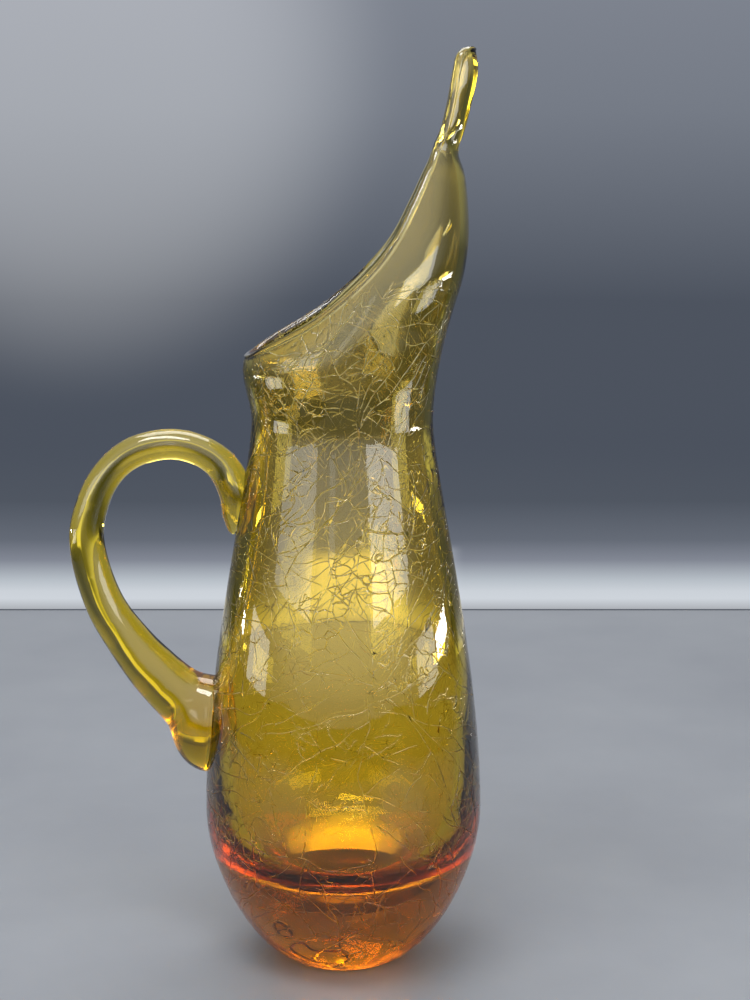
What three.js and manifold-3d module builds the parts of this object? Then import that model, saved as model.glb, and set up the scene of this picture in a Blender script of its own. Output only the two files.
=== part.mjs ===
import * as THREE from 'three';
import { mergeVertices } from 'three/addons/utils/BufferGeometryUtils.js';
import Module from 'manifold-3d';

// Hand-blown crackle-glass pitcher with a drawn-up lip and an applied loop handle.
// Millimetres, +Z up. The origin is the centre of the ground-flat foot. The lip points
// along +X and the handle along -X, so the object is symmetric across the XZ plane.

// Body: heights of its widest and narrowest levels, and its radii
const BELLY_HEIGHT = 65;
const BELLY_RADIUS = 58.2;
const WAIST_HEIGHT = 230.7;
const WAIST_RADIUS = 37.2;
const FOOT_RADIUS = 22.7;

// Glass: solid base under the cavity, wall at the belly, and wall of the neck and lip
const BASE_THICKNESS = 40;
const BELLY_WALL = 8.8;
const WALL = 3.4;
const RIM_SWELL = 0.4;

// Lip: its length above the waist, how far its tongue and the crease under it stand
// beyond the waist, and the tongue's channel
const LIP_LENGTH = 149.3;
const TONGUE_REACH = 17.2;
const CREASE_REACH = 9.4;
const TONGUE_HALF_WIDTH = 10;
const TONGUE_DEPTH = 16;

// Handle: heights of its two joints, how far its loop stands off the wall, its rod, and
// the pad of its lower end
const UPPER_JOINT_HEIGHT = 195.7;
const LOWER_JOINT_HEIGHT = 101;
const HANDLE_REACH = 62;
const ROD_RADIUS = 6.5;
const PAD_DEPTH = 17;
const PAD_HALF_WIDTH = 16;
const PAD_HALF_HEIGHT = 21.5;
const JOINT_CLEARANCE = 0.3;

// Mesh fineness
const COLUMNS = 56;
const LIP_ROWS = 20;
const BODY_ROWS = 12;
const RIM_ROWS = 5;
const ROD_SIDES = 20;
const ROD_RINGS = 44;
const PAD_SIDES = 28;

const point = (x, y) => new THREE.Vector2(x, y);

// Smooth values between stations: each row is a position followed by its values
function blend(stations) {
  const positions = stations.map((row) => row[0]);
  const values = stations.flatMap((row) => row.slice(1));
  const curve = new THREE.CubicInterpolant(positions, values, stations[0].length - 1);
  curve.settings = { endingStart: THREE.ZeroSlopeEnding, endingEnd: THREE.ZeroCurvatureEnding };
  return curve;
}

// The outside of the body, from the edge of the foot up to the waist
const shoulderSpan = WAIST_HEIGHT - BELLY_HEIGHT;
const lowerOutline = new THREE.CubicBezierCurve(
  point(FOOT_RADIUS, 0),
  point(BELLY_RADIUS * 0.72, BELLY_HEIGHT * 0.1),
  point(BELLY_RADIUS, BELLY_HEIGHT * 0.66),
  point(BELLY_RADIUS, BELLY_HEIGHT)
).getPoints(BODY_ROWS);
const upperOutline = new THREE.CubicBezierCurve(
  point(BELLY_RADIUS, BELLY_HEIGHT),
  point(BELLY_RADIUS, BELLY_HEIGHT + shoulderSpan * 0.373),
  point(WAIST_RADIUS, WAIST_HEIGHT - shoulderSpan * 0.13),
  point(WAIST_RADIUS, WAIST_HEIGHT)
).getPoints(BODY_ROWS);
const bodyOutline = [...lowerOutline, ...upperOutline.slice(1)];

// The inside of the body, from the waist down to the middle of the cavity's floor
const cavityRadius = BELLY_RADIUS - BELLY_WALL;
const cavityWidest = BASE_THICKNESS + cavityRadius * 1.3;
const innerSpan = WAIST_HEIGHT - cavityWidest;
const innerUpper = new THREE.CubicBezierCurve(
  point(WAIST_RADIUS - WALL, WAIST_HEIGHT),
  point(WAIST_RADIUS - WALL, WAIST_HEIGHT - innerSpan * 0.38),
  point(cavityRadius, cavityWidest + innerSpan * 0.32),
  point(cavityRadius, cavityWidest)
).getPoints(BODY_ROWS);
const innerLower = new THREE.CubicBezierCurve(
  point(cavityRadius, cavityWidest),
  point(cavityRadius, BASE_THICKNESS + cavityRadius * 0.1),
  point(cavityRadius * 0.85, BASE_THICKNESS),
  point(0, BASE_THICKNESS)
).getPoints(BODY_ROWS);
const innerOutline = [...innerUpper, ...innerLower.slice(1)];

// The body's outside radius at a height, read off its outline
function bodyRadius(height) {
  const above = Math.max(bodyOutline.findIndex((p) => p.y >= height), 1);
  const high = bodyOutline[above];
  const low = bodyOutline[above - 1];
  return THREE.MathUtils.mapLinear(height, low.y, high.y, low.x, high.x);
}

// Level sections of the lip by its rise from the waist (0) to the tip (1): how far the
// front stands beyond the waist, then its half-width and depth as shares of the way from
// the tongue's size (0) to the waist's (1)
const lipSections = blend([
  [0, 0, 1, 1],
  [0.19, TONGUE_REACH * 0.2, 1.04, 1.12],
  [0.3, TONGUE_REACH * 0.45, 1, 0.84],
  [0.4, TONGUE_REACH * 0.7, 0.9, 0.7],
  [0.5, TONGUE_REACH * 0.81, 0.71, 0.56],
  [0.6, TONGUE_REACH * 0.78, 0.47, 0.44],
  [0.68, TONGUE_REACH * 0.69, 0.25, 0.25],
  [0.735, CREASE_REACH, 0.07, -0.1],
  [0.79, TONGUE_REACH * 0.7, 0.03, -0.09],
  [0.85, TONGUE_REACH * 0.83, 0.01, -0.02],
  [0.955, TONGUE_REACH, 0, 0.1],
  [1, TONGUE_REACH * 0.94, -0.02, 0.09],
]);

// The rim by the column's angle from the front: its rise and its angle round the section
const rimLine = blend([
  [-6, 0.994, -38],
  [0, 1, 0],
  [6, 0.994, 38],
  [13, 0.965, 51],
  [28, 0.851, 56],
  [47, 0.743, 62],
  [75, 0.595, 80],
  [108, 0.397, 107],
  [128, 0.283, 128],
  [155, 0.19, 156],
  [180, 0.174, 180],
  [205, 0.19, 204],
]);

// A point on the lip's outside: column angle in radians, and share of the way up to the rim
const rimBeadRadius = WALL / 2 + RIM_SWELL;
function lipPoint(angle, share) {
  const side = Math.sign(angle) || 1;
  const column = THREE.MathUtils.radToDeg(Math.abs(angle));
  const [rimRise, rimTurn] = rimLine.evaluate(column);
  const rise = rimRise * share;
  const turn = THREE.MathUtils.degToRad(THREE.MathUtils.lerp(column, rimTurn, share ** 3));
  const [reach, widthShare, depthShare] = lipSections.evaluate(rise);
  const halfWidth = THREE.MathUtils.lerp(TONGUE_HALF_WIDTH, WAIST_RADIUS, widthShare);
  const depth = THREE.MathUtils.lerp(TONGUE_DEPTH, WAIST_RADIUS, depthShare);
  return new THREE.Vector3(
    WAIST_RADIUS + reach - depth * (1 - Math.cos(turn)),
    side * halfWidth * Math.sin(turn),
    WAIST_HEIGHT + (LIP_LENGTH - rimBeadRadius) * rise
  );
}

// The same point moved inwards by a depth, or off the rim along the surface
function lipOffset(angle, share, inward, beyond) {
  const step = 0.01;
  const centre = lipPoint(angle, share);
  const along = lipPoint(angle + step, share).sub(lipPoint(angle - step, share)).normalize();
  const up = lipPoint(angle, share + step / 2).sub(lipPoint(angle, share - step / 2));
  const outward = along.clone().cross(up).normalize();
  const offRim = outward.clone().cross(along);
  return centre.addScaledVector(outward, -inward).addScaledVector(offRim, beyond);
}

// Closed profile of the unpulled blank: foot, outside, rim, inside, cavity floor. Above the
// waist it is a plain collar of the waist's radius, which pulling turns into the lip.
function blankProfile() {
  const rows = [point(0, 0), ...bodyOutline];
  for (let i = 1; i <= LIP_ROWS; i += 1) {
    rows.push(point(WAIST_RADIUS, WAIST_HEIGHT + i));
  }
  for (let i = 1; i < RIM_ROWS; i += 1) {
    const turn = (Math.PI * i) / RIM_ROWS;
    rows.push(point(
      WAIST_RADIUS - WALL / 2 + rimBeadRadius * Math.cos(turn),
      WAIST_HEIGHT + LIP_ROWS + rimBeadRadius * Math.sin(turn)
    ));
  }
  for (let i = LIP_ROWS; i >= 1; i -= 1) {
    rows.push(point(WAIST_RADIUS - WALL, WAIST_HEIGHT + i));
  }
  return [...rows, ...innerOutline];
}

// Turn a profile round the Z axis
function turned(profile, sides) {
  return new THREE.LatheGeometry(profile, sides).rotateX(Math.PI / 2);
}

// Draw the collar of the turned blank out into the lip
function pulled(geometry) {
  const spots = geometry.attributes.position;
  for (let i = 0; i < spots.count; i += 1) {
    const rise = spots.getZ(i) - WAIST_HEIGHT;
    if (rise > 0.001) {
      const radius = Math.hypot(spots.getX(i), spots.getY(i));
      const angle = Math.atan2(spots.getY(i), spots.getX(i));
      const share = Math.min(rise / LIP_ROWS, 1);
      const spot = lipOffset(angle, share, WAIST_RADIUS - radius, Math.max(rise - LIP_ROWS, 0));
      spots.setXYZ(i, spot.x, spot.y, spot.z);
    }
  }
  return geometry;
}

// Handle stations from the tip of its upper tail, over the loop, to inside the lower pad:
// distance off the wall as a share of the reach, height between the joints (0 lower,
// 1 upper), then half-thickness in the loop's plane and half-width across it, in rods
const handleStations = [
  [0.01, 0.86, 0.42, 0.5],
  [0.01, 0.94, 0.98, 1],
  [0.04, 1.04, 1.08, 1.25],
  [0.14, 1.15, 1.06, 1.08],
  [0.28, 1.22, 1, 1],
  [0.5, 1.26, 0.97, 1],
  [0.74, 1.23, 0.98, 1],
  [0.89, 1.15, 0.98, 1],
  [0.98, 1.02, 1.03, 1.03],
  [1, 0.88, 1.12, 1.1],
  [0.97, 0.78, 1.15, 1.12],
  [0.83, 0.56, 1.25, 1.22],
  [0.61, 0.37, 1.45, 1.4],
  [0.37, 0.21, 1.75, 1.7],
  [0.14, 0.09, 2, 1.9],
  [-0.1, 0, 1.8, 1.8],
];

// The handle's rod: a turned bar bent along the stations
function bentRod() {
  const lower = bodyRadius(LOWER_JOINT_HEIGHT);
  const upper = bodyRadius(UPPER_JOINT_HEIGHT);
  const path = new THREE.CatmullRomCurve3(handleStations.map(([out, up]) => new THREE.Vector3(
    -THREE.MathUtils.lerp(lower, upper, up) - HANDLE_REACH * out,
    0,
    THREE.MathUtils.lerp(LOWER_JOINT_HEIGHT, UPPER_JOINT_HEIGHT, up)
  )));
  const girth = new THREE.SplineCurve(handleStations.map((row) => point(row[2], row[3])));
  const bar = [point(0, 0), point(0.7, 0.006)];
  for (let i = 1; i < ROD_RINGS; i += 1) {
    bar.push(point(1, i / ROD_RINGS));
  }
  bar.push(point(0.8, 0.995), point(0, 1));
  const geometry = turned(bar, ROD_SIDES);
  const spots = geometry.attributes.position;
  for (let i = 0; i < spots.count; i += 1) {
    const share = THREE.MathUtils.clamp(spots.getZ(i), 0, 1);
    const size = girth.getPoint(share);
    const forward = path.getTangent(share);
    const spot = path.getPoint(share);
    const inPlane = new THREE.Vector3(forward.z, 0, -forward.x);
    spot.addScaledVector(inPlane, spots.getX(i) * size.x * ROD_RADIUS);
    spots.setXYZ(i, spot.x, spots.getY(i) * size.y * ROD_RADIUS, spot.z);
  }
  return geometry;
}

// The pad of hot glass pressed on at the handle's lower end, its middle just inside the wall
function jointPad() {
  const pad = new THREE.SphereGeometry(1, PAD_SIDES, PAD_SIDES / 2);
  pad.scale(PAD_DEPTH, PAD_HALF_WIDTH, PAD_HALF_HEIGHT);
  return pad.translate(-bodyRadius(LOWER_JOINT_HEIGHT), 0, LOWER_JOINT_HEIGHT);
}

const wasm = await Module();
wasm.setup();

function solid(geometry) {
  const bare = geometry.clone();
  bare.deleteAttribute('normal');
  bare.deleteAttribute('uv');
  const merged = mergeVertices(bare, 0.001);
  return new wasm.Manifold(new wasm.Mesh({
    numProp: 3,
    vertProperties: new Float32Array(merged.attributes.position.array),
    triVerts: new Uint32Array(merged.index.array),
  }));
}

function geometryOf(manifold) {
  const mesh = manifold.getMesh();
  const geometry = new THREE.BufferGeometry();
  geometry.setAttribute('position', new THREE.BufferAttribute(mesh.vertProperties, 3));
  geometry.setIndex(new THREE.BufferAttribute(mesh.triVerts, 1));
  geometry.computeVertexNormals();
  return geometry;
}

// A plain solid of the body's outside, larger by the joint clearance
function grownBody() {
  const rows = bodyOutline.map((p) => point(p.x + JOINT_CLEARANCE, p.y));
  const top = WAIST_HEIGHT + LIP_ROWS;
  const cap = [point(WAIST_RADIUS + JOINT_CLEARANCE, top), point(0, top)];
  return turned([point(0, 0), ...rows, ...cap], COLUMNS);
}

const amberGlass = new THREE.MeshStandardMaterial({
  color: 0xb98a1e,
  roughness: 0.08,
  metalness: 0,
});
const crackleGlass = new THREE.MeshStandardMaterial({
  color: 0xa8962c,
  roughness: 0.16,
  metalness: 0,
});

function piece(name, geometry, material) {
  const mesh = new THREE.Mesh(geometry, material);
  mesh.name = name;
  return mesh;
}

const vessel = pulled(turned(blankProfile(), COLUMNS));
const handle = solid(bentRod()).add(solid(jointPad())).subtract(solid(grownBody()));

const group = new THREE.Group();
group.name = 'crackle_glass_pitcher';
group.add(piece('blown_vessel', vessel, crackleGlass));
group.add(piece('applied_handle', geometryOf(handle), amberGlass));

export default group;
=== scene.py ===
# %% [markdown]
# # A crackle-glass pitcher
# This lesson builds a tall pitcher of golden-amber glass: a thick-based belly, a slim
# waist, a rim drawn up in front into a pinched tongue, and a solid loop handle. The real
# one is made of only two gathers of hot glass, so the model has only two pieces.
# +Z is up, +X is the side of the lip and -X the side of the handle. Sizes are written in
# millimetres, as on a drawing, and become metres where the shapes are made.

# %% Load the frame
import math
import random
import bmesh
import bpy
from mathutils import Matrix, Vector, noise
from mathutils.geometry import interpolate_bezier


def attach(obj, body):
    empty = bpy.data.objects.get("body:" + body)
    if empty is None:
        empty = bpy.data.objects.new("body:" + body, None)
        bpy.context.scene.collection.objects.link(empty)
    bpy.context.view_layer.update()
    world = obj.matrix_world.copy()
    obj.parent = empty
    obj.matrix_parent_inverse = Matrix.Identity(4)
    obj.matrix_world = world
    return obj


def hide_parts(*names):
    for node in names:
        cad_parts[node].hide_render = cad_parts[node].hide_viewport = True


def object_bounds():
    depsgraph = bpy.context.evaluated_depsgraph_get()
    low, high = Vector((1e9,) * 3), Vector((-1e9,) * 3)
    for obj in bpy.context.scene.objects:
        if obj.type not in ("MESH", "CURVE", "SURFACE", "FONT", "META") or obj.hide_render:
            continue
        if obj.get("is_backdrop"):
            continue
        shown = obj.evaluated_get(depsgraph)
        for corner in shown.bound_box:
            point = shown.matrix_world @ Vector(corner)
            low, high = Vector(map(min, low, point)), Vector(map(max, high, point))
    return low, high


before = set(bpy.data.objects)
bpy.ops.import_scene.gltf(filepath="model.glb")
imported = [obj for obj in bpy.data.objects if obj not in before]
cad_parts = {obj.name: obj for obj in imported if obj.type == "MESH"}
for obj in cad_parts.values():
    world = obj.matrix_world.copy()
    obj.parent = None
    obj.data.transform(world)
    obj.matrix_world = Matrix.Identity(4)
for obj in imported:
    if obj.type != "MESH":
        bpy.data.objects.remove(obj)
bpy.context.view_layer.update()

MM = 0.001

# %% [markdown]
# ## The camera
# The pitcher is seen square from its side by someone standing close, with the lens a
# little below the tip and tipped down, so that the rim is seen almost edge-on while the
# foot is seen well from above.

# %% Camera
eye = bpy.data.cameras.new("eye")
eye.sensor_width = 36
eye.lens = 70.2
camera = bpy.data.objects.new("camera", eye)
camera.location = (13.4 * MM, -791 * MM, 347.8 * MM)
camera.rotation_euler = (math.radians(90 - 10.8), 0, 0)
bpy.context.scene.collection.objects.link(camera)
bpy.context.scene.camera = camera
print("the lens takes in", round(math.degrees(eye.angle), 1), "degrees of height")

# %% [markdown]
# ## The table and the room
# Glass shows nothing but what is around it, so the surroundings are part of its look.
# A pale tabletop stands in a dim blue-grey room. The room is a world gradient by height.
# It has one soft glow straight behind the pitcher, a little towards the handle, and it
# grows bright on the camera's side above eye level, which the glass mirrors as pale sheen.


# %% Helpers for node trees
def put(tree, kind, **inputs):
    """One new node, with the named inputs set."""
    node = tree.nodes.new(kind)
    for name, value in inputs.items():
        node.inputs[name.replace("_", " ")].default_value = value
    return node


def wire(tree, *ends):
    """Join sockets in pairs: from, to, from, to."""
    for start, stop in zip(ends[::2], ends[1::2]):
        tree.links.new(start, stop)


def ramp(tree, *stops):
    """A colour ramp through the given positions and colours."""
    node = tree.nodes.new("ShaderNodeValToRGB")
    elements = node.color_ramp.elements
    for i, (position, colour) in enumerate(stops):
        element = elements[i] if i < 2 else elements.new(position)
        element.position = position
        element.color = (*colour, 1)
    return node


# %% Room
world = bpy.data.worlds.new("room")
world.use_nodes = True
room = world.node_tree
room.nodes.clear()
where = put(room, "ShaderNodeTexCoord")
parts = put(room, "ShaderNodeSeparateXYZ")
height = put(room, "ShaderNodeMapRange", From_Min=-1.0, From_Max=1.0)
tones = ramp(
    room,
    (0.0, (0.30, 0.31, 0.33)),
    (0.35, (0.12, 0.13, 0.15)),
    (0.4013, (0.085, 0.099, 0.125)),
    (0.42, (0.072, 0.085, 0.112)),
    (0.457, (0.075, 0.088, 0.115)),
    (0.505, (0.18, 0.20, 0.24)),
    (0.535, (0.21, 0.23, 0.275)),
    (0.62, (0.27, 0.29, 0.33)),
    (0.76, (0.42, 0.44, 0.47)),
    (0.92, (1.0, 1.0, 1.02)),
    (1.0, (1.3, 1.3, 1.3)),
)
glow_side = put(room, "ShaderNodeVectorMath")
glow_side.operation = "DOT_PRODUCT"
glow_side.inputs[1].default_value = Vector((-0.15, 0.989, 0.03)).normalized()
glow = put(room, "ShaderNodeMapRange", From_Min=0.984, From_Max=1.0, To_Max=0.2)
glow.interpolation_type = "SMOOTHERSTEP"
lit = put(room, "ShaderNodeMix")
lit.data_type = "RGBA"
lit.blend_type = "ADD"
lit.inputs[7].default_value = (1, 1, 1, 1)
front = put(room, "ShaderNodeMapRange", From_Min=0.1, From_Max=-0.8, To_Max=0.75)
front.interpolation_type = "SMOOTHSTEP"
upward = put(room, "ShaderNodeMapRange", From_Min=-0.16, From_Max=0.12, To_Min=0.15, To_Max=2.3)
upward.interpolation_type = "SMOOTHSTEP"
front_light = put(room, "ShaderNodeMath")
front_light.operation = "MULTIPLY"
bright = put(room, "ShaderNodeMix")
bright.data_type = "RGBA"
bright.blend_type = "ADD"
bright.clamp_factor = False
bright.inputs[7].default_value = (1, 0.99, 0.97, 1)
air = put(room, "ShaderNodeBackground", Strength=1.0)
sky = put(room, "ShaderNodeOutputWorld")
wire(room, where.outputs["Generated"], parts.inputs[0], parts.outputs["Z"], height.inputs["Value"])
wire(room, height.outputs["Result"], tones.inputs["Fac"])
wire(room, where.outputs["Generated"], glow_side.inputs[0])
wire(room, glow_side.outputs["Value"], glow.inputs["Value"])
wire(room, glow.outputs["Result"], lit.inputs["Factor"], tones.outputs["Color"], lit.inputs[6])
wire(room, parts.outputs["Y"], front.inputs["Value"], parts.outputs["Z"], upward.inputs["Value"])
wire(room, front.outputs["Result"], front_light.inputs[0])
wire(room, upward.outputs["Result"], front_light.inputs[1])
wire(room, front_light.outputs[0], bright.inputs["Factor"])
wire(room, lit.outputs[2], bright.inputs[6], bright.outputs[2], air.inputs["Color"])
wire(room, air.outputs[0], sky.inputs["Surface"])
bpy.context.scene.world = world
bpy.context.scene.view_settings.view_transform = "Standard"
bpy.context.scene.cycles.max_bounces = 28
bpy.context.scene.cycles.transmission_bounces = 26
bpy.context.scene.cycles.transparent_max_bounces = 16

# %% [markdown]
# The tabletop is a square board with rounded edges. Half its side is the distance that
# puts its far edge just under the bright foot of the border.

# %% Table
TABLE_HALF = 604
TABLE_THICKNESS = 24
TABLE_DROP = 0.05
bm = bmesh.new()
board = bmesh.ops.create_cube(bm, size=1)["verts"]
bmesh.ops.scale(
    bm, vec=(2 * TABLE_HALF * MM, 2 * TABLE_HALF * MM, TABLE_THICKNESS * MM), verts=board,
)
bmesh.ops.translate(bm, vec=(0, 0, -(TABLE_THICKNESS / 2 + TABLE_DROP) * MM), verts=board)
bmesh.ops.bevel(
    bm, geom=bm.edges[:], affect="EDGES", offset=4 * MM, segments=4, profile=0.5, material=-1,
)
tabletop = bpy.data.meshes.new("tabletop")
bm.to_mesh(tabletop)
bm.free()
table = bpy.data.objects.new("tabletop", tabletop)
bpy.context.scene.collection.objects.link(table)
pale = bpy.data.materials.new("pale_tabletop")
pale.use_nodes = True
tree = pale.node_tree
top = tree.nodes["Principled BSDF"]
place = put(tree, "ShaderNodeTexCoord")
mottle = put(tree, "ShaderNodeTexNoise", Scale=9.0, Detail=6.0, Roughness=0.6)
shade = ramp(tree, (0.3, (0.118, 0.126, 0.142)), (0.7, (0.138, 0.147, 0.162)))
top.inputs["Roughness"].default_value = 0.42
wire(tree, place.outputs["Object"], mottle.inputs["Vector"])
wire(tree, mottle.outputs["Fac"], shade.inputs["Fac"])
wire(tree, shade.outputs["Color"], top.inputs["Base Color"])
tabletop.materials.append(pale)
table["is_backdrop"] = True
print("tabletop", 2 * TABLE_HALF, "mm across")

# %% [markdown]
# A low border stands along the table's edge, glowing at its foot and fading upwards. Seen
# through the glass, it makes the bright golden zone across the shoulder. It is a real
# surface at a real distance, because every ray that passes through the glass leaves from
# another height. Only the far side glows fully, which keeps the flanks of the base dark,
# and its middle, hidden behind the pitcher, glows more, up to a sharp line.

# %% Glowing border
BORDER_HEIGHT = 80
bm = bmesh.new()
bmesh.ops.create_grid(bm, x_segments=1, y_segments=1, size=TABLE_HALF * MM)
bmesh.ops.delete(bm, geom=bm.faces[:], context="FACES_ONLY")
raised = bmesh.ops.extrude_edge_only(bm, edges=bm.edges[:])["geom"]
tops = [piece for piece in raised if isinstance(piece, bmesh.types.BMVert)]
bmesh.ops.translate(bm, vec=(0, 0, BORDER_HEIGHT * MM), verts=tops)
bmesh.ops.recalc_face_normals(bm, faces=bm.faces)
strip = bpy.data.meshes.new("glowing_border")
bm.to_mesh(strip)
bm.free()
border = bpy.data.objects.new("glowing_border", strip)
bpy.context.scene.collection.objects.link(border)
fading = bpy.data.materials.new("fading_glow")
fading.use_nodes = True
tree = fading.node_tree
place = put(tree, "ShaderNodeTexCoord")
parts = put(tree, "ShaderNodeSeparateXYZ")
level = put(tree, "ShaderNodeMapRange", From_Max=BORDER_HEIGHT * MM)
glowing = ramp(
    tree,
    (0.0, (0.42, 0.44, 0.475)),
    (0.10, (0.62, 0.66, 0.71)),
    (0.17, (0.60, 0.64, 0.69)),
    (0.27, (0.48, 0.525, 0.575)),
    (0.46, (0.225, 0.245, 0.295)),
    (0.65, (0.13, 0.147, 0.182)),
    (1.0, (0.083, 0.097, 0.124)),
)
middle = put(tree, "ShaderNodeMath")
middle.operation = "ABSOLUTE"
gain = put(tree, "ShaderNodeMapRange", From_Min=0.035, From_Max=0.08, To_Min=1.0, To_Max=0.0)
gain.interpolation_type = "SMOOTHSTEP"
core = ramp(
    tree,
    (0.0, (0.10, 0.10, 0.11)),
    (0.15, (0.22, 0.23, 0.24)),
    (0.33, (0.55, 0.57, 0.60)),
    (0.55, (0.85, 0.88, 0.90)),
    (0.61, (0.0, 0.0, 0.0)),
)
total = put(tree, "ShaderNodeMix")
total.data_type = "RGBA"
total.blend_type = "ADD"
behind = put(tree, "ShaderNodeMapRange", From_Min=0.5, From_Max=0.6, To_Min=0.12)
shine = put(tree, "ShaderNodeEmission")
wire(tree, place.outputs["Object"], parts.inputs[0], parts.outputs["Z"], level.inputs["Value"])
wire(tree, parts.outputs["X"], middle.inputs[0], middle.outputs[0], gain.inputs["Value"])
wire(tree, level.outputs["Result"], glowing.inputs["Fac"])
wire(tree, level.outputs["Result"], core.inputs["Fac"])
wire(tree, glowing.outputs["Color"], total.inputs[6], core.outputs["Color"], total.inputs[7])
wire(tree, gain.outputs["Result"], total.inputs["Factor"], total.outputs[2], shine.inputs["Color"])
wire(tree, parts.outputs["Y"], behind.inputs["Value"])
wire(tree, behind.outputs["Result"], shine.inputs["Strength"])
wire(tree, shine.outputs[0], tree.nodes["Material Output"].inputs["Surface"])
strip.materials.append(fading)
border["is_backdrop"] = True

# %% [markdown]
# Glass is lit by what it mirrors and by what it bends, so each light has one job. Two long
# low boxes far out at the sides leave small highlights on the flanks. Two windows in front
# sweep white over the lip and light the tongue. Two low side panels and a dim strip near
# the camera draw pale streaks down the neck. One large box hangs above and behind, so the
# shadow falls forwards, and another above in front catches the top of the handle. A narrow
# beam falls on the table just behind the foot, and the thick base shows it as a golden
# glow. The camera itself sees none of them.


# %% Lights
def soft_box(name, spot, aim, size, watts, tint=(1, 1, 1), spread=180):
    """A rectangular light at spot facing aim, in millimetres, with its beam's spread in degrees."""
    light = bpy.data.lights.new(name, "AREA")
    light.shape = "RECTANGLE"
    light.size, light.size_y = (side * MM for side in size)
    light.energy = watts
    light.color = tint
    light.spread = math.radians(spread)
    lamp = bpy.data.objects.new(name, light)
    lamp.location = Vector(spot) * MM
    lamp.rotation_euler = (Vector(aim) - Vector(spot)).to_track_quat("-Z", "Y").to_euler()
    lamp.visible_camera = False
    bpy.context.scene.collection.objects.link(lamp)


soft_box("right_box", (1250, 330, 60), (0, 0, 130), (420, 45), 1.6, (1, 0.98, 0.95))
soft_box("left_box", (-1250, 480, 60), (0, 0, 130), (340, 30), 0.9, (0.95, 0.98, 1))
soft_box("front_strip", (-175, -950, 470), (0, 0, 240), (110, 380), 0.16)
soft_box("top_box", (-80, 400, 1150), (0, 0, 40), (900, 600), 11)
soft_box("front_top", (-200, -420, 1150), (0, 0, 60), (700, 300), 11)
soft_box("right_window", (920, -770, 425), (0, 0, 400), (900, 390), 6, (1, 0.99, 0.97))
soft_box("left_window", (-920, -770, 425), (0, 0, 400), (900, 390), 3, (0.97, 0.99, 1))
soft_box("right_panel", (900, -150, 60), (0, 0, 230), (400, 160), 0.9)
soft_box("left_panel", (-900, -150, 60), (0, 0, 230), (400, 160), 0.9)
soft_box("back_spot", (0, 710, 600), (0, 28, 0), (12, 12), 0.36, (1, 0.97, 0.9), 3.4)

# %% [markdown]
# ## The body and the lip
# A gatherer takes up hot glass on a pipe, blows it, and swings it so that most of the
# glass stays low: the base is 40 mm thick while the neck's wall is 3.4 mm. Then the mouth
# is cut open and pulled: the rim is cut in a slope, drawn up in front, pinched into a
# narrow tongue, and fire-polished to a round bead.
# The model follows the same order. A closed profile is spun into a blank with a plain
# collar, and the collar's points are moved to where pulling takes them.

# %% Sizes of the body and the lip
BELLY_HEIGHT = 65
BELLY_RADIUS = 58.2
WAIST_HEIGHT = 230.7
WAIST_RADIUS = 37.2
FOOT_RADIUS = 22.7
BASE_THICKNESS = 40
BELLY_WALL = 8.8
WALL = 3.4
RIM_BEAD = 2.1
LIP_LENGTH = 149.3
TONGUE_REACH = 17.2
CREASE_REACH = 9.4
TONGUE_HALF_WIDTH = 10
TONGUE_DEPTH = 16
COLUMNS = 176
COLLAR_ROWS = 54


def bezier(a, b, c, d, count):
    """Points along one curve of the outline, given as (radius, height)."""
    knots = [Vector((r, h, 0)) for r, h in (a, b, c, d)]
    return [(p.x, p.y) for p in interpolate_bezier(*knots, count)]


shoulder = WAIST_HEIGHT - BELLY_HEIGHT
cavity = BELLY_RADIUS - BELLY_WALL
cavity_widest = BASE_THICKNESS + cavity * 1.3
inner_span = WAIST_HEIGHT - cavity_widest
lower_wall = bezier(
    (FOOT_RADIUS, 0),
    (BELLY_RADIUS * 0.72, BELLY_HEIGHT * 0.1),
    (BELLY_RADIUS, BELLY_HEIGHT * 0.66),
    (BELLY_RADIUS, BELLY_HEIGHT),
    44,
)
upper_wall = bezier(
    (BELLY_RADIUS, BELLY_HEIGHT),
    (BELLY_RADIUS, BELLY_HEIGHT + shoulder * 0.373),
    (WAIST_RADIUS, WAIST_HEIGHT - shoulder * 0.13),
    (WAIST_RADIUS, WAIST_HEIGHT),
    90,
)
inner_wall = bezier(
    (WAIST_RADIUS - WALL, WAIST_HEIGHT),
    (WAIST_RADIUS - WALL, WAIST_HEIGHT - inner_span * 0.38),
    (cavity, cavity_widest + inner_span * 0.32),
    (cavity, cavity_widest),
    46,
)
floor_line = bezier(
    (cavity, cavity_widest),
    (cavity, BASE_THICKNESS + cavity * 0.1),
    (cavity * 0.85, BASE_THICKNESS),
    (0, BASE_THICKNESS),
    30,
)
outline = lower_wall + upper_wall[1:]
print(len(outline), "rows up the outside of the body")

# %% [markdown]
# The lip's level sections change all the way up: round at the waist, then narrower and
# shallower until only the tongue's channel is left. Each table row is a position and the
# values there, and a smooth curve runs through the rows.


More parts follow.
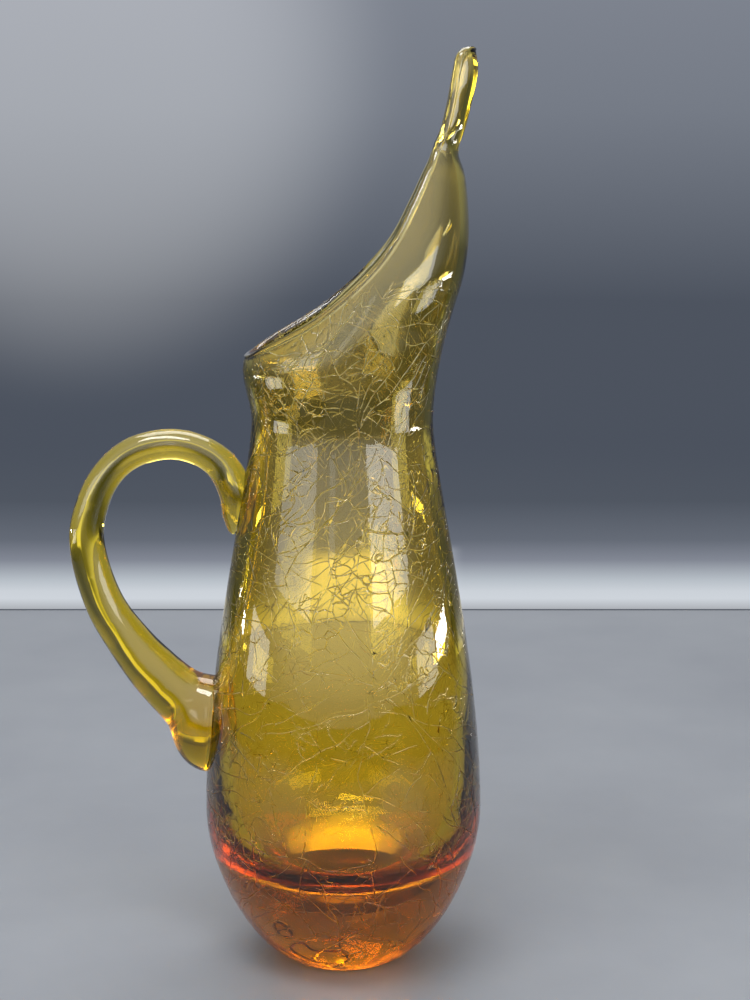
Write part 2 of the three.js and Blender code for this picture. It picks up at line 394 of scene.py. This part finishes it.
# %% Smooth tables
def smooth_table(*stations):
    """A function giving the values at a position, on smooth curves through the stations."""
    spans = [stop[0] - start[0] for start, stop in zip(stations, stations[1:])]
    rates = [
        [(b - a) / span for a, b in zip(start[1:], stop[1:])]
        for start, stop, span in zip(stations, stations[1:], spans)
    ]
    slopes = [[0] * len(rates[0])]
    slopes += [[(a + b) / 2 for a, b in zip(*pair)] for pair in zip(rates, rates[1:])]
    slopes.append(rates[-1])

    def values(position):
        i = 0
        while i < len(spans) - 1 and position >= stations[i + 1][0]:
            i += 1
        t = (position - stations[i][0]) / spans[i]
        start_weight, stop_weight = (1 + 2 * t) * (1 - t) ** 2, t * t * (3 - 2 * t)
        start_pull, stop_pull = t * (1 - t) ** 2 * spans[i], t * t * (t - 1) * spans[i]
        return [
            start_weight * a + stop_weight * b + start_pull * p + stop_pull * q
            for a, b, p, q in zip(stations[i][1:], stations[i + 1][1:], slopes[i], slopes[i + 1])
        ]

    return values


# rise; reach beyond the waist; half-width and depth, from the tongue's (0) to the waist's (1)
lip_sections = smooth_table(
    (0, 0, 1, 1),
    (0.19, TONGUE_REACH * 0.2, 1.04, 1.12),
    (0.3, TONGUE_REACH * 0.45, 1, 0.84),
    (0.4, TONGUE_REACH * 0.7, 0.9, 0.7),
    (0.5, TONGUE_REACH * 0.81, 0.71, 0.56),
    (0.6, TONGUE_REACH * 0.78, 0.47, 0.44),
    (0.68, TONGUE_REACH * 0.69, 0.25, 0.25),
    (0.735, CREASE_REACH, 0.07, -0.1),
    (0.79, TONGUE_REACH * 0.7, 0.03, -0.09),
    (0.85, TONGUE_REACH * 0.83, 0.01, -0.02),
    (0.955, TONGUE_REACH, 0, 0.1),
    (1, TONGUE_REACH * 0.94, -0.02, 0.09),
)
# column's angle from the front; the rim's rise and its angle round the section
rim_line = smooth_table(
    (-6, 0.994, -38),
    (0, 1, 0),
    (6, 0.994, 38),
    (13, 0.965, 51),
    (28, 0.851, 56),
    (47, 0.743, 62),
    (75, 0.595, 80),
    (108, 0.397, 107),
    (128, 0.283, 128),
    (155, 0.19, 156),
    (180, 0.174, 180),
    (205, 0.19, 204),
)


def lerp(a, b, t):
    return a + (b - a) * t


def lip_point(angle, share):
    """A point on the lip's outside, by the column's angle and the share of the way to the rim."""
    side = -1 if angle < 0 else 1
    column = math.degrees(abs(angle))
    rim_rise, rim_turn = rim_line(column)
    rise = rim_rise * share
    turn = math.radians(lerp(column, rim_turn, share ** 3))
    reach, width_share, depth_share = lip_sections(rise)
    half_width = lerp(TONGUE_HALF_WIDTH, WAIST_RADIUS, width_share)
    depth = lerp(TONGUE_DEPTH, WAIST_RADIUS, depth_share)
    return Vector((
        WAIST_RADIUS + reach - depth * (1 - math.cos(turn)),
        side * half_width * math.sin(turn),
        WAIST_HEIGHT + (LIP_LENGTH - RIM_BEAD) * rise,
    ))


def lip_offset(angle, share, inward, beyond):
    """The same point moved inwards by a depth, or off the rim along the surface."""
    step = 0.01
    along = (lip_point(angle + step, share) - lip_point(angle - step, share)).normalized()
    up = lip_point(angle, share + step / 2) - lip_point(angle, share - step / 2)
    outward = along.cross(up).normalized()
    return lip_point(angle, share) - outward * inward + outward.cross(along) * beyond


# %% [markdown]
# Spinning one closed profile makes the whole blank in a single step: foot, outside wall,
# collar, rim bead, inside wall and cavity floor. Each row of the profile also says how
# crackled the finished surface is there, and the spin copies that round.

# %% Spin the blank
CRACKLE_RISE = 34
BEAD_STEPS = 12
INNER_ROWS = 34
rows = [
    (0, 0.6, 0),
    (FOOT_RADIUS * 0.55, 0.5, 0),
    (FOOT_RADIUS * 0.75, 0.1, 0),
    (FOOT_RADIUS * 0.86, 0, 0),
    (FOOT_RADIUS * 0.97, 0.15, 0),
]
rows += [(r, h, min(h / CRACKLE_RISE, 1)) for r, h in outline[1:]]
rows += [(WAIST_RADIUS, WAIST_HEIGHT + i, 1) for i in range(1, COLLAR_ROWS + 1)]
for i in range(1, BEAD_STEPS):
    turn = math.pi * i / BEAD_STEPS
    rows.append((
        WAIST_RADIUS - WALL / 2 + RIM_BEAD * math.cos(turn),
        WAIST_HEIGHT + COLLAR_ROWS + RIM_BEAD * math.sin(turn),
        0,
    ))
for i in range(INNER_ROWS, 0, -1):
    rows.append((WAIST_RADIUS - WALL, WAIST_HEIGHT + i / INNER_ROWS * COLLAR_ROWS, 0))
rows += [(r, h, 0) for r, h in inner_wall + floor_line[1:]]

blank = bmesh.new()
crackled = blank.verts.layers.float.new("crackle")
frosted = blank.verts.layers.float.new("frost")
profile = []
for radius, level, amount in rows:
    spot = blank.verts.new((radius, 0, level))
    spot[crackled] = amount
    profile.append(spot)
edges = [blank.edges.new(pair) for pair in zip(profile, profile[1:])]
bmesh.ops.spin(
    blank, geom=profile + edges, cent=(0, 0, 0), axis=(0, 0, 1),
    angle=math.tau, steps=COLUMNS, use_merge=True,
)
bmesh.ops.remove_doubles(blank, verts=blank.verts, dist=0.001)
bmesh.ops.recalc_face_normals(blank, faces=blank.faces)
print("blank:", len(blank.faces), "faces, open edges", sum(e.is_boundary for e in blank.edges))

# %% Pull the collar into the lip
CRACKLE_FADE = (262, 292)
for spot in blank.verts:
    rise = spot.co.z - WAIST_HEIGHT
    if rise > 0.001:
        radius = math.hypot(spot.co.x, spot.co.y)
        angle = math.atan2(spot.co.y, spot.co.x)
        share = min(rise / COLLAR_ROWS, 1)
        spot.co = lip_offset(angle, share, WAIST_RADIUS - radius, max(rise - COLLAR_ROWS, 0))
        low, high = CRACKLE_FADE
        fade = min(max((high - spot.co.z) / (high - low), 0), 1) * min((1 - share) / 0.12, 1)
        spot[crackled] *= max(fade, 0)
print("the tip stands at", round(max(v.co.z for v in blank.verts), 1), "mm")

# %% [markdown]
# ### The crackle
# Crackle glass is dipped in cold water while it's hot. The skin shrinks at once and
# splits, and reheating closes the splits into fine grooves. A crack runs until it meets
# an older one, which is why the cells are long uneven polygons. So each crack here is a
# plane cut across one patch of the wall, and each part is cut again until the cells are
# small. The wall is bent by smooth noise before the cutting and put back after it, which
# makes the straight cuts wander.

# %% Crack the wall
BELLY_CELL = 240
NECK_CELL = 75
CELL_CHANGE = (120, 215)
rng = random.Random(7)
noise.seed_set(11)
home = blank.verts.layers.float_vector.new("home")
age = blank.edges.layers.int.new("crack")
for spot in blank.verts:
    spot[home] = spot.co
    spot.co += noise.noise_vector(spot.co / 38) * 9 + noise.noise_vector(spot.co / 11) * 3
UP = Vector((0, 0, 1))


def cell_size(level):
    """The usual area of a cell at a height: small at the neck, large at the belly."""
    low, high = CELL_CHANGE
    return lerp(BELLY_CELL, NECK_CELL, min(max((level - low) / (high - low), 0), 1))


def crack(patch, level):
    """Cut a patch of faces in two by one crack, then go on with both parts."""
    centres = [face.calc_center_median() for face in patch]
    middle = sum(centres, Vector()) / len(patch)
    area = sum(face.calc_area() for face in patch)
    if area < cell_size(middle.z) * rng.lognormvariate(0.1, 0.6) or len(patch) < 6:
        return
    around = UP.cross(Vector((middle.x, middle.y, 0)).normalized())
    if level < 2:
        middle = Vector((0, 0, middle.z))
        normal = Vector((0.3, 1, 0)) if level == 0 else Vector((1, 0.2, 0))
    else:
        spread_around = sum(abs((spot - middle).dot(around)) for spot in centres)
        spread_up = sum(abs(spot.z - middle.z) for spot in centres)
        lean = math.atan2(spread_up, spread_around) + rng.gauss(0, 0.55)
        normal = around * math.cos(lean) + UP * math.sin(lean) * rng.choice((-1, 1))
    corners = dict.fromkeys(v for face in patch for v in face.verts)
    sides = dict.fromkeys(e for face in patch for e in face.edges)
    cut = bmesh.ops.bisect_plane(
        blank, geom=[*corners, *sides, *patch], dist=1e-5, plane_co=middle, plane_no=normal,
    )
    for piece in cut["geom_cut"]:
        if isinstance(piece, bmesh.types.BMEdge):
            piece[age] = level + 1
    halves = ([], [])
    for piece in cut["geom"]:
        if isinstance(piece, bmesh.types.BMFace):
            halves[(piece.calc_center_median() - middle).dot(normal) > 0].append(piece)
    for half in halves:
        if half:
            crack(half, level + 1)


crack([face for face in blank.faces if min(v[crackled] for v in face.verts) > 0.02], 0)
for spot in blank.verts:
    spot.co = spot[home]
print(sum(edge[age] > 0 for edge in blank.edges), "edges lie along cracks")

# %% [markdown]
# Each crack line is opened into a narrow strip, and the strip's middle is pushed in, so
# the wall stays smooth right up to the groove. The depth wanders, and some stretches have
# healed over. Edges of the strips are sharp, so the groove doesn't soften the wall's
# shading. The bottom of a groove is rough, so it catches light: it looks bright against
# the dark of the room and dark against the glow.

# %% Open the cracks into grooves
GROOVE_WIDTH = 0.5
GROOVE_DEPTH = 0.26
near = {spot for edge in blank.edges if edge[age] > 0 for spot in edge.verts}
near |= {edge.other_vert(spot) for spot in near for edge in spot.link_edges}
near = sorted(near, key=lambda spot: tuple(spot.co))
bmesh.ops.remove_doubles(blank, verts=near, dist=GROOVE_WIDTH * 0.7)
seams = [edge for edge in blank.edges if edge[age] > 0]
strips = bmesh.ops.bevel(
    blank, geom=seams, affect="EDGES", offset=GROOVE_WIDTH / 2, segments=2, profile=0.5,
    material=-1, clamp_overlap=False,
)
channel = set(strips["faces"])
blank.normal_update()
for spot in strips["verts"]:
    if all(face in channel for face in spot.link_faces):
        wander = min(max(0.7 + 1.4 * noise.noise(spot.co / 6), 0), 1.2)
        depth = wander * min(spot[crackled] * 2, 1)
        spot.co -= spot.normal * GROOVE_DEPTH * depth
        spot[frosted] = depth
for face in channel:
    for edge in face.edges:
        if not all(other in channel for other in edge.link_faces):
            edge.smooth = False
print(len(channel), "faces in grooves, open edges", sum(e.is_boundary for e in blank.edges))

# %% [markdown]
# ## Amber glass
# The colour is in the glass itself, not on it, so it's a volume that takes out blue
# quickly and green slowly: thin walls are straw-yellow and the thick base is orange. The
# surface is clear. What the eye reads as texture is relief: hair-fine cracks between the
# large ones, and the faint waviness of hand-worked glass. A slight tint where light
# crosses the surface stands for the darker skin of the last dip into the pot.


# %% Glass
# cells in a metre; a crack's width as a share of a cell; its depth in metres; how rare it is
HAIR_CRACKS = ((110.0, 0.03, 0.0002, 0.52), (210.0, 0.04, 0.0001, 0.6))


def amber_glass(name, crackle):
    """Clear glass with an amber body, waves on its skin, and hair cracks if crackled."""
    material = bpy.data.materials.new(name)
    material.use_nodes = True
    tree = material.node_tree
    surface = tree.nodes["Principled BSDF"]
    surface.inputs["Base Color"].default_value = (1.0, 0.87, 0.62, 1)
    surface.inputs["Transmission Weight"].default_value = 1
    surface.inputs["IOR"].default_value = 1.5
    body = put(tree, "ShaderNodeVolumeAbsorption", Color=(0.958, 0.893, 0.0, 1), Density=180.0)
    wire(tree, body.outputs[0], tree.nodes["Material Output"].inputs["Volume"])
    place = put(tree, "ShaderNodeTexCoord")
    spot = place.outputs["Object"]
    drawn = put(tree, "ShaderNodeMapping", Scale=(1.0, 1.0, 0.35))
    waves = put(tree, "ShaderNodeTexNoise", Scale=42.0, Detail=1.0, Roughness=0.4)
    relief = put(tree, "ShaderNodeBump", Strength=1.0, Distance=0.0003)
    wire(tree, spot, drawn.inputs["Vector"], drawn.outputs[0], waves.inputs["Vector"])
    wire(tree, waves.outputs["Fac"], relief.inputs["Height"])
    haze = put(tree, "ShaderNodeTexNoise", Scale=160.0, Detail=4.0, Roughness=0.6)
    rough = put(tree, "ShaderNodeMapRange", From_Min=0.35, From_Max=0.7, To_Min=0.0, To_Max=0.03)
    wire(tree, spot, haze.inputs["Vector"], haze.outputs["Fac"], rough.inputs["Value"])
    roughness = rough.outputs["Result"]
    if crackle:
        frost = put(tree, "ShaderNodeAttribute")
        frost.attribute_name = "frost"
        frosted_rough = put(tree, "ShaderNodeMath")
        frosted_rough.operation = "MULTIPLY_ADD"
        frosted_rough.inputs[1].default_value = 0.55
        wire(tree, frost.outputs["Fac"], frosted_rough.inputs[0])
        wire(tree, roughness, frosted_rough.inputs[2])
        roughness = frosted_rough.outputs[0]
        amount = put(tree, "ShaderNodeAttribute")
        amount.attribute_name = "crackle"
        drift = put(tree, "ShaderNodeTexNoise", Scale=70.0, Detail=2.0)
        bent = put(tree, "ShaderNodeVectorMath")
        bent.operation = "MULTIPLY_ADD"
        bent.inputs[1].default_value = (0.014, 0.014, 0.014)
        wire(tree, spot, drift.inputs["Vector"], drift.outputs["Color"], bent.inputs[0])
        wire(tree, spot, bent.inputs[2])
        for scale, width, depth, reach in HAIR_CRACKS:
            cells = put(tree, "ShaderNodeTexVoronoi", Scale=scale, Randomness=1.0)
            cells.feature = "DISTANCE_TO_EDGE"
            wall = put(tree, "ShaderNodeMapRange", From_Min=0.0, From_Max=width)
            wall.interpolation_type = "SMOOTHSTEP"
            hair = put(tree, "ShaderNodeBump", Distance=depth)
            patches = put(tree, "ShaderNodeTexNoise", Scale=scale * 0.35, Detail=3.0)
            shown = put(tree, "ShaderNodeMapRange", From_Min=reach, From_Max=reach + 0.12)
            strength = put(tree, "ShaderNodeMath")
            strength.operation = "MULTIPLY"
            wire(tree, spot, patches.inputs["Vector"])
            wire(tree, patches.outputs["Fac"], shown.inputs["Value"])
            wire(tree, shown.outputs["Result"], strength.inputs[0])
            wire(tree, amount.outputs["Fac"], strength.inputs[1])
            wire(tree, bent.outputs[0], cells.inputs["Vector"])
            wire(tree, cells.outputs["Distance"], wall.inputs["Value"])
            wire(tree, wall.outputs["Result"], hair.inputs["Height"])
            wire(tree, strength.outputs[0], hair.inputs["Strength"])
            wire(tree, relief.outputs[0], hair.inputs["Normal"])
            relief = hair
    wire(tree, relief.outputs[0], surface.inputs["Normal"], roughness, surface.inputs["Roughness"])
    return material


def finished(bm, name, material):
    """A mesh in millimetres becomes a smooth-shaded object in metres."""
    bmesh.ops.scale(bm, vec=(MM, MM, MM), verts=bm.verts)
    mesh = bpy.data.meshes.new(name)
    bm.to_mesh(mesh)
    bm.free()
    for face in mesh.polygons:
        face.use_smooth = True
    mesh.materials.append(material)
    thing = bpy.data.objects.new(name, mesh)
    bpy.context.scene.collection.objects.link(thing)
    print(name, len(mesh.polygons), "faces")
    return thing


crackle_glass = amber_glass("crackle_glass", True)
blank.verts.layers.float_vector.remove(home)
blank.edges.layers.int.remove(age)
vessel = finished(blank, "blown_body", crackle_glass)
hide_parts("blown_vessel")
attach(vessel, "root")

# %% [markdown]
# ## The handle
# A second gather is dropped onto the belly, where it spreads into a pad, then drawn out,
# looped over, and its end pressed on under the neck. So its section changes all along:
# thick at the pad, slim over the loop, swelling again at the bend under the upper end.
# A bar is spun and bent along stations, an ellipsoid makes the pad, and remeshing both as
# one skin melts them together. Where they meet the wall, the wall's own shape is cut out,
# made uneven by streaks, because hot glass never beds down evenly on crackled glass.

# %% Sizes of the handle
UPPER_JOINT_HEIGHT = 195.7
LOWER_JOINT_HEIGHT = 101
HANDLE_REACH = 62
ROD_RADIUS = 6.5
PAD = (17, 16, 21.5)
GAP = 0.12
UNEVEN = 1.1
# share of the reach; height between the joints; half-thickness and half-width, in rods
HANDLE_STATIONS = (
    (0.01, 0.86, 0.42, 0.5),
    (0.01, 0.94, 0.98, 1),
    (0.04, 1.04, 1.08, 1.25),
    (0.14, 1.15, 1.06, 1.08),
    (0.28, 1.22, 1, 1),
    (0.5, 1.26, 0.97, 1),
    (0.74, 1.23, 0.98, 1),
    (0.89, 1.15, 0.98, 1),
    (0.98, 1.02, 1.03, 1.03),
    (0.995, 0.83, 1.13, 1.1),
    (0.83, 0.56, 1.25, 1.22),
    (0.61, 0.37, 1.45, 1.4),
    (0.37, 0.21, 1.75, 1.7),
    (0.14, 0.09, 2, 1.9),
    (-0.1, 0, 1.8, 1.8),
)


def wall_radius(level):
    """The body's outside radius at a height."""
    i = next(k for k, (_, h) in enumerate(outline) if h >= level)
    (r0, h0), (r1, h1) = outline[i - 1], outline[i]
    return lerp(r0, r1, (level - h0) / (h1 - h0))


def handle_place(out, up):
    """The spot for a share of the reach and a height between the joints."""
    base = lerp(wall_radius(LOWER_JOINT_HEIGHT), wall_radius(UPPER_JOINT_HEIGHT), up)
    return Vector((-base - HANDLE_REACH * out, 0, lerp(LOWER_JOINT_HEIGHT, UPPER_JOINT_HEIGHT, up)))


# stations are spread by the root of their distance, so that the curve passes evenly
places = [handle_place(out, up) for out, up, _, _ in HANDLE_STATIONS]
steps = [0]
for start, stop in zip(places, places[1:]):
    steps.append(steps[-1] + (stop - start).length ** 0.5)
handle_course = smooth_table(*(
    (step / steps[-1], place.x, place.z, row[2] * ROD_RADIUS, row[3] * ROD_RADIUS)
    for step, place, row in zip(steps, places, HANDLE_STATIONS)
))


def handle_at(share):
    """The spot and the two half-sizes at a share of the way along the handle."""
    x, z, thick, wide = handle_course(share)
    return Vector((x, 0, z)), thick, wide


# %% Spin the bar and bend it
RINGS = 220
bar = bmesh.new()
line = [(0, 0), (0.45, 0.0012), (0.75, 0.004)]
line += [(1, i / RINGS) for i in range(2, RINGS)] + [(0.8, 0.997), (0, 1)]
spots = [bar.verts.new((radius, 0, share)) for radius, share in line]
edges = [bar.edges.new(pair) for pair in zip(spots, spots[1:])]
bmesh.ops.spin(
    bar, geom=spots + edges, cent=(0, 0, 0), axis=(0, 0, 1),
    angle=math.tau, steps=44, use_merge=True,
)
bmesh.ops.remove_doubles(bar, verts=bar.verts, dist=1e-6)
for spot in bar.verts:
    share = min(max(spot.co.z, 0), 1)
    centre, thick, wide = handle_at(share)
    ahead, behind = handle_at(min(share + 0.002, 1))[0], handle_at(max(share - 0.002, 0))[0]
    forward = (ahead - behind).normalized()
    in_plane = Vector((forward.z, 0, -forward.x))
    spot.co = centre + in_plane * spot.co.x * thick + Vector((0, 1, 0)) * spot.co.y * wide
bmesh.ops.recalc_face_normals(bar, faces=bar.faces)
pad = bmesh.ops.create_uvsphere(bar, u_segments=48, v_segments=32, radius=1)["verts"]
bmesh.ops.scale(bar, vec=PAD, verts=pad)
bmesh.ops.translate(bar, vec=(-wall_radius(LOWER_JOINT_HEIGHT), 0, LOWER_JOINT_HEIGHT), verts=pad)
print("handle bar:", len(bar.faces), "faces")

# %% [markdown]
# The two overlapping shapes become one skin by a voxel remesh, and a smoothing pass takes
# out its tiny steps and rounds the fold where the rod runs into the pad.


# %% Melt the handle together and fit it to the wall
def shaped(thing, *modifiers):
    """Apply modifiers, given as (kind, settings), to an object's mesh."""
    for kind, settings in modifiers:
        modifier = thing.modifiers.new(kind.lower(), kind)
        for name, value in settings.items():
            setattr(modifier, name, value)
    final = thing.evaluated_get(bpy.context.evaluated_depsgraph_get())
    result = bpy.data.meshes.new_from_object(final)
    thing.modifiers.clear()
    thing.data = result
    return thing


clear_amber = amber_glass("clear_amber_glass", False)
handle = finished(bar, "loop_handle", clear_amber)
shaped(handle, ("REMESH", {"mode": "VOXEL", "voxel_size": 0.75 * MM, "use_smooth_shade": True}))
fold = handle.vertex_groups.new(name="fold")
pad_middle = Vector((-wall_radius(LOWER_JOINT_HEIGHT), 0, LOWER_JOINT_HEIGHT)) * MM
for spot in handle.data.vertices:
    nearness = 1.9 - (spot.co - pad_middle).length / (19 * MM)
    fold.add([spot.index], min(max(nearness, 0), 1), "REPLACE")
shaped(
    handle,
    ("SMOOTH", {"factor": 0.5, "iterations": 12}),
    ("SMOOTH", {"factor": 0.5, "iterations": 220, "vertex_group": "fold"}),
)
handle.vertex_groups.clear()
form = bmesh.new()
top = WAIST_HEIGHT + 30
line = [(0, 0)] + [(r + GAP, h) for r, h in outline[::2]] + [(WAIST_RADIUS + GAP, top), (0, top)]
spots = [form.verts.new((radius, 0, level)) for radius, level in line]
edges = [form.edges.new(pair) for pair in zip(spots, spots[1:])]
bmesh.ops.spin(
    form, geom=spots + edges, cent=(0, 0, 0), axis=(0, 0, 1),
    angle=math.tau, steps=COLUMNS, use_merge=True,
)
bmesh.ops.remove_doubles(form, verts=form.verts, dist=0.001)
for spot in form.verts:
    streak = noise.noise(Vector((spot.co.x / 2.2, spot.co.y / 2.2, spot.co.z / 9)))
    outward = Vector((spot.co.x, spot.co.y, 0)).normalized()
    spot.co += outward * max(streak, 0) * UNEVEN
bmesh.ops.recalc_face_normals(form, faces=form.faces)
wall_form = finished(form, "wall_form", clear_amber)
shaped(handle, ("BOOLEAN", {"operation": "DIFFERENCE", "object": wall_form, "solver": "EXACT"}))
bpy.data.objects.remove(wall_form)
handle.data.set_sharp_from_angle(angle=math.radians(50))
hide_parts("applied_handle")
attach(handle, "root")
print("handle:", len(handle.data.polygons), "faces")

# %% [markdown]
# ## The visual box
# The box round the visual pieces is printed.

# %% Sizes
low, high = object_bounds()
print("visual box", [round(v / MM, 1) for v in (*low, *high)])
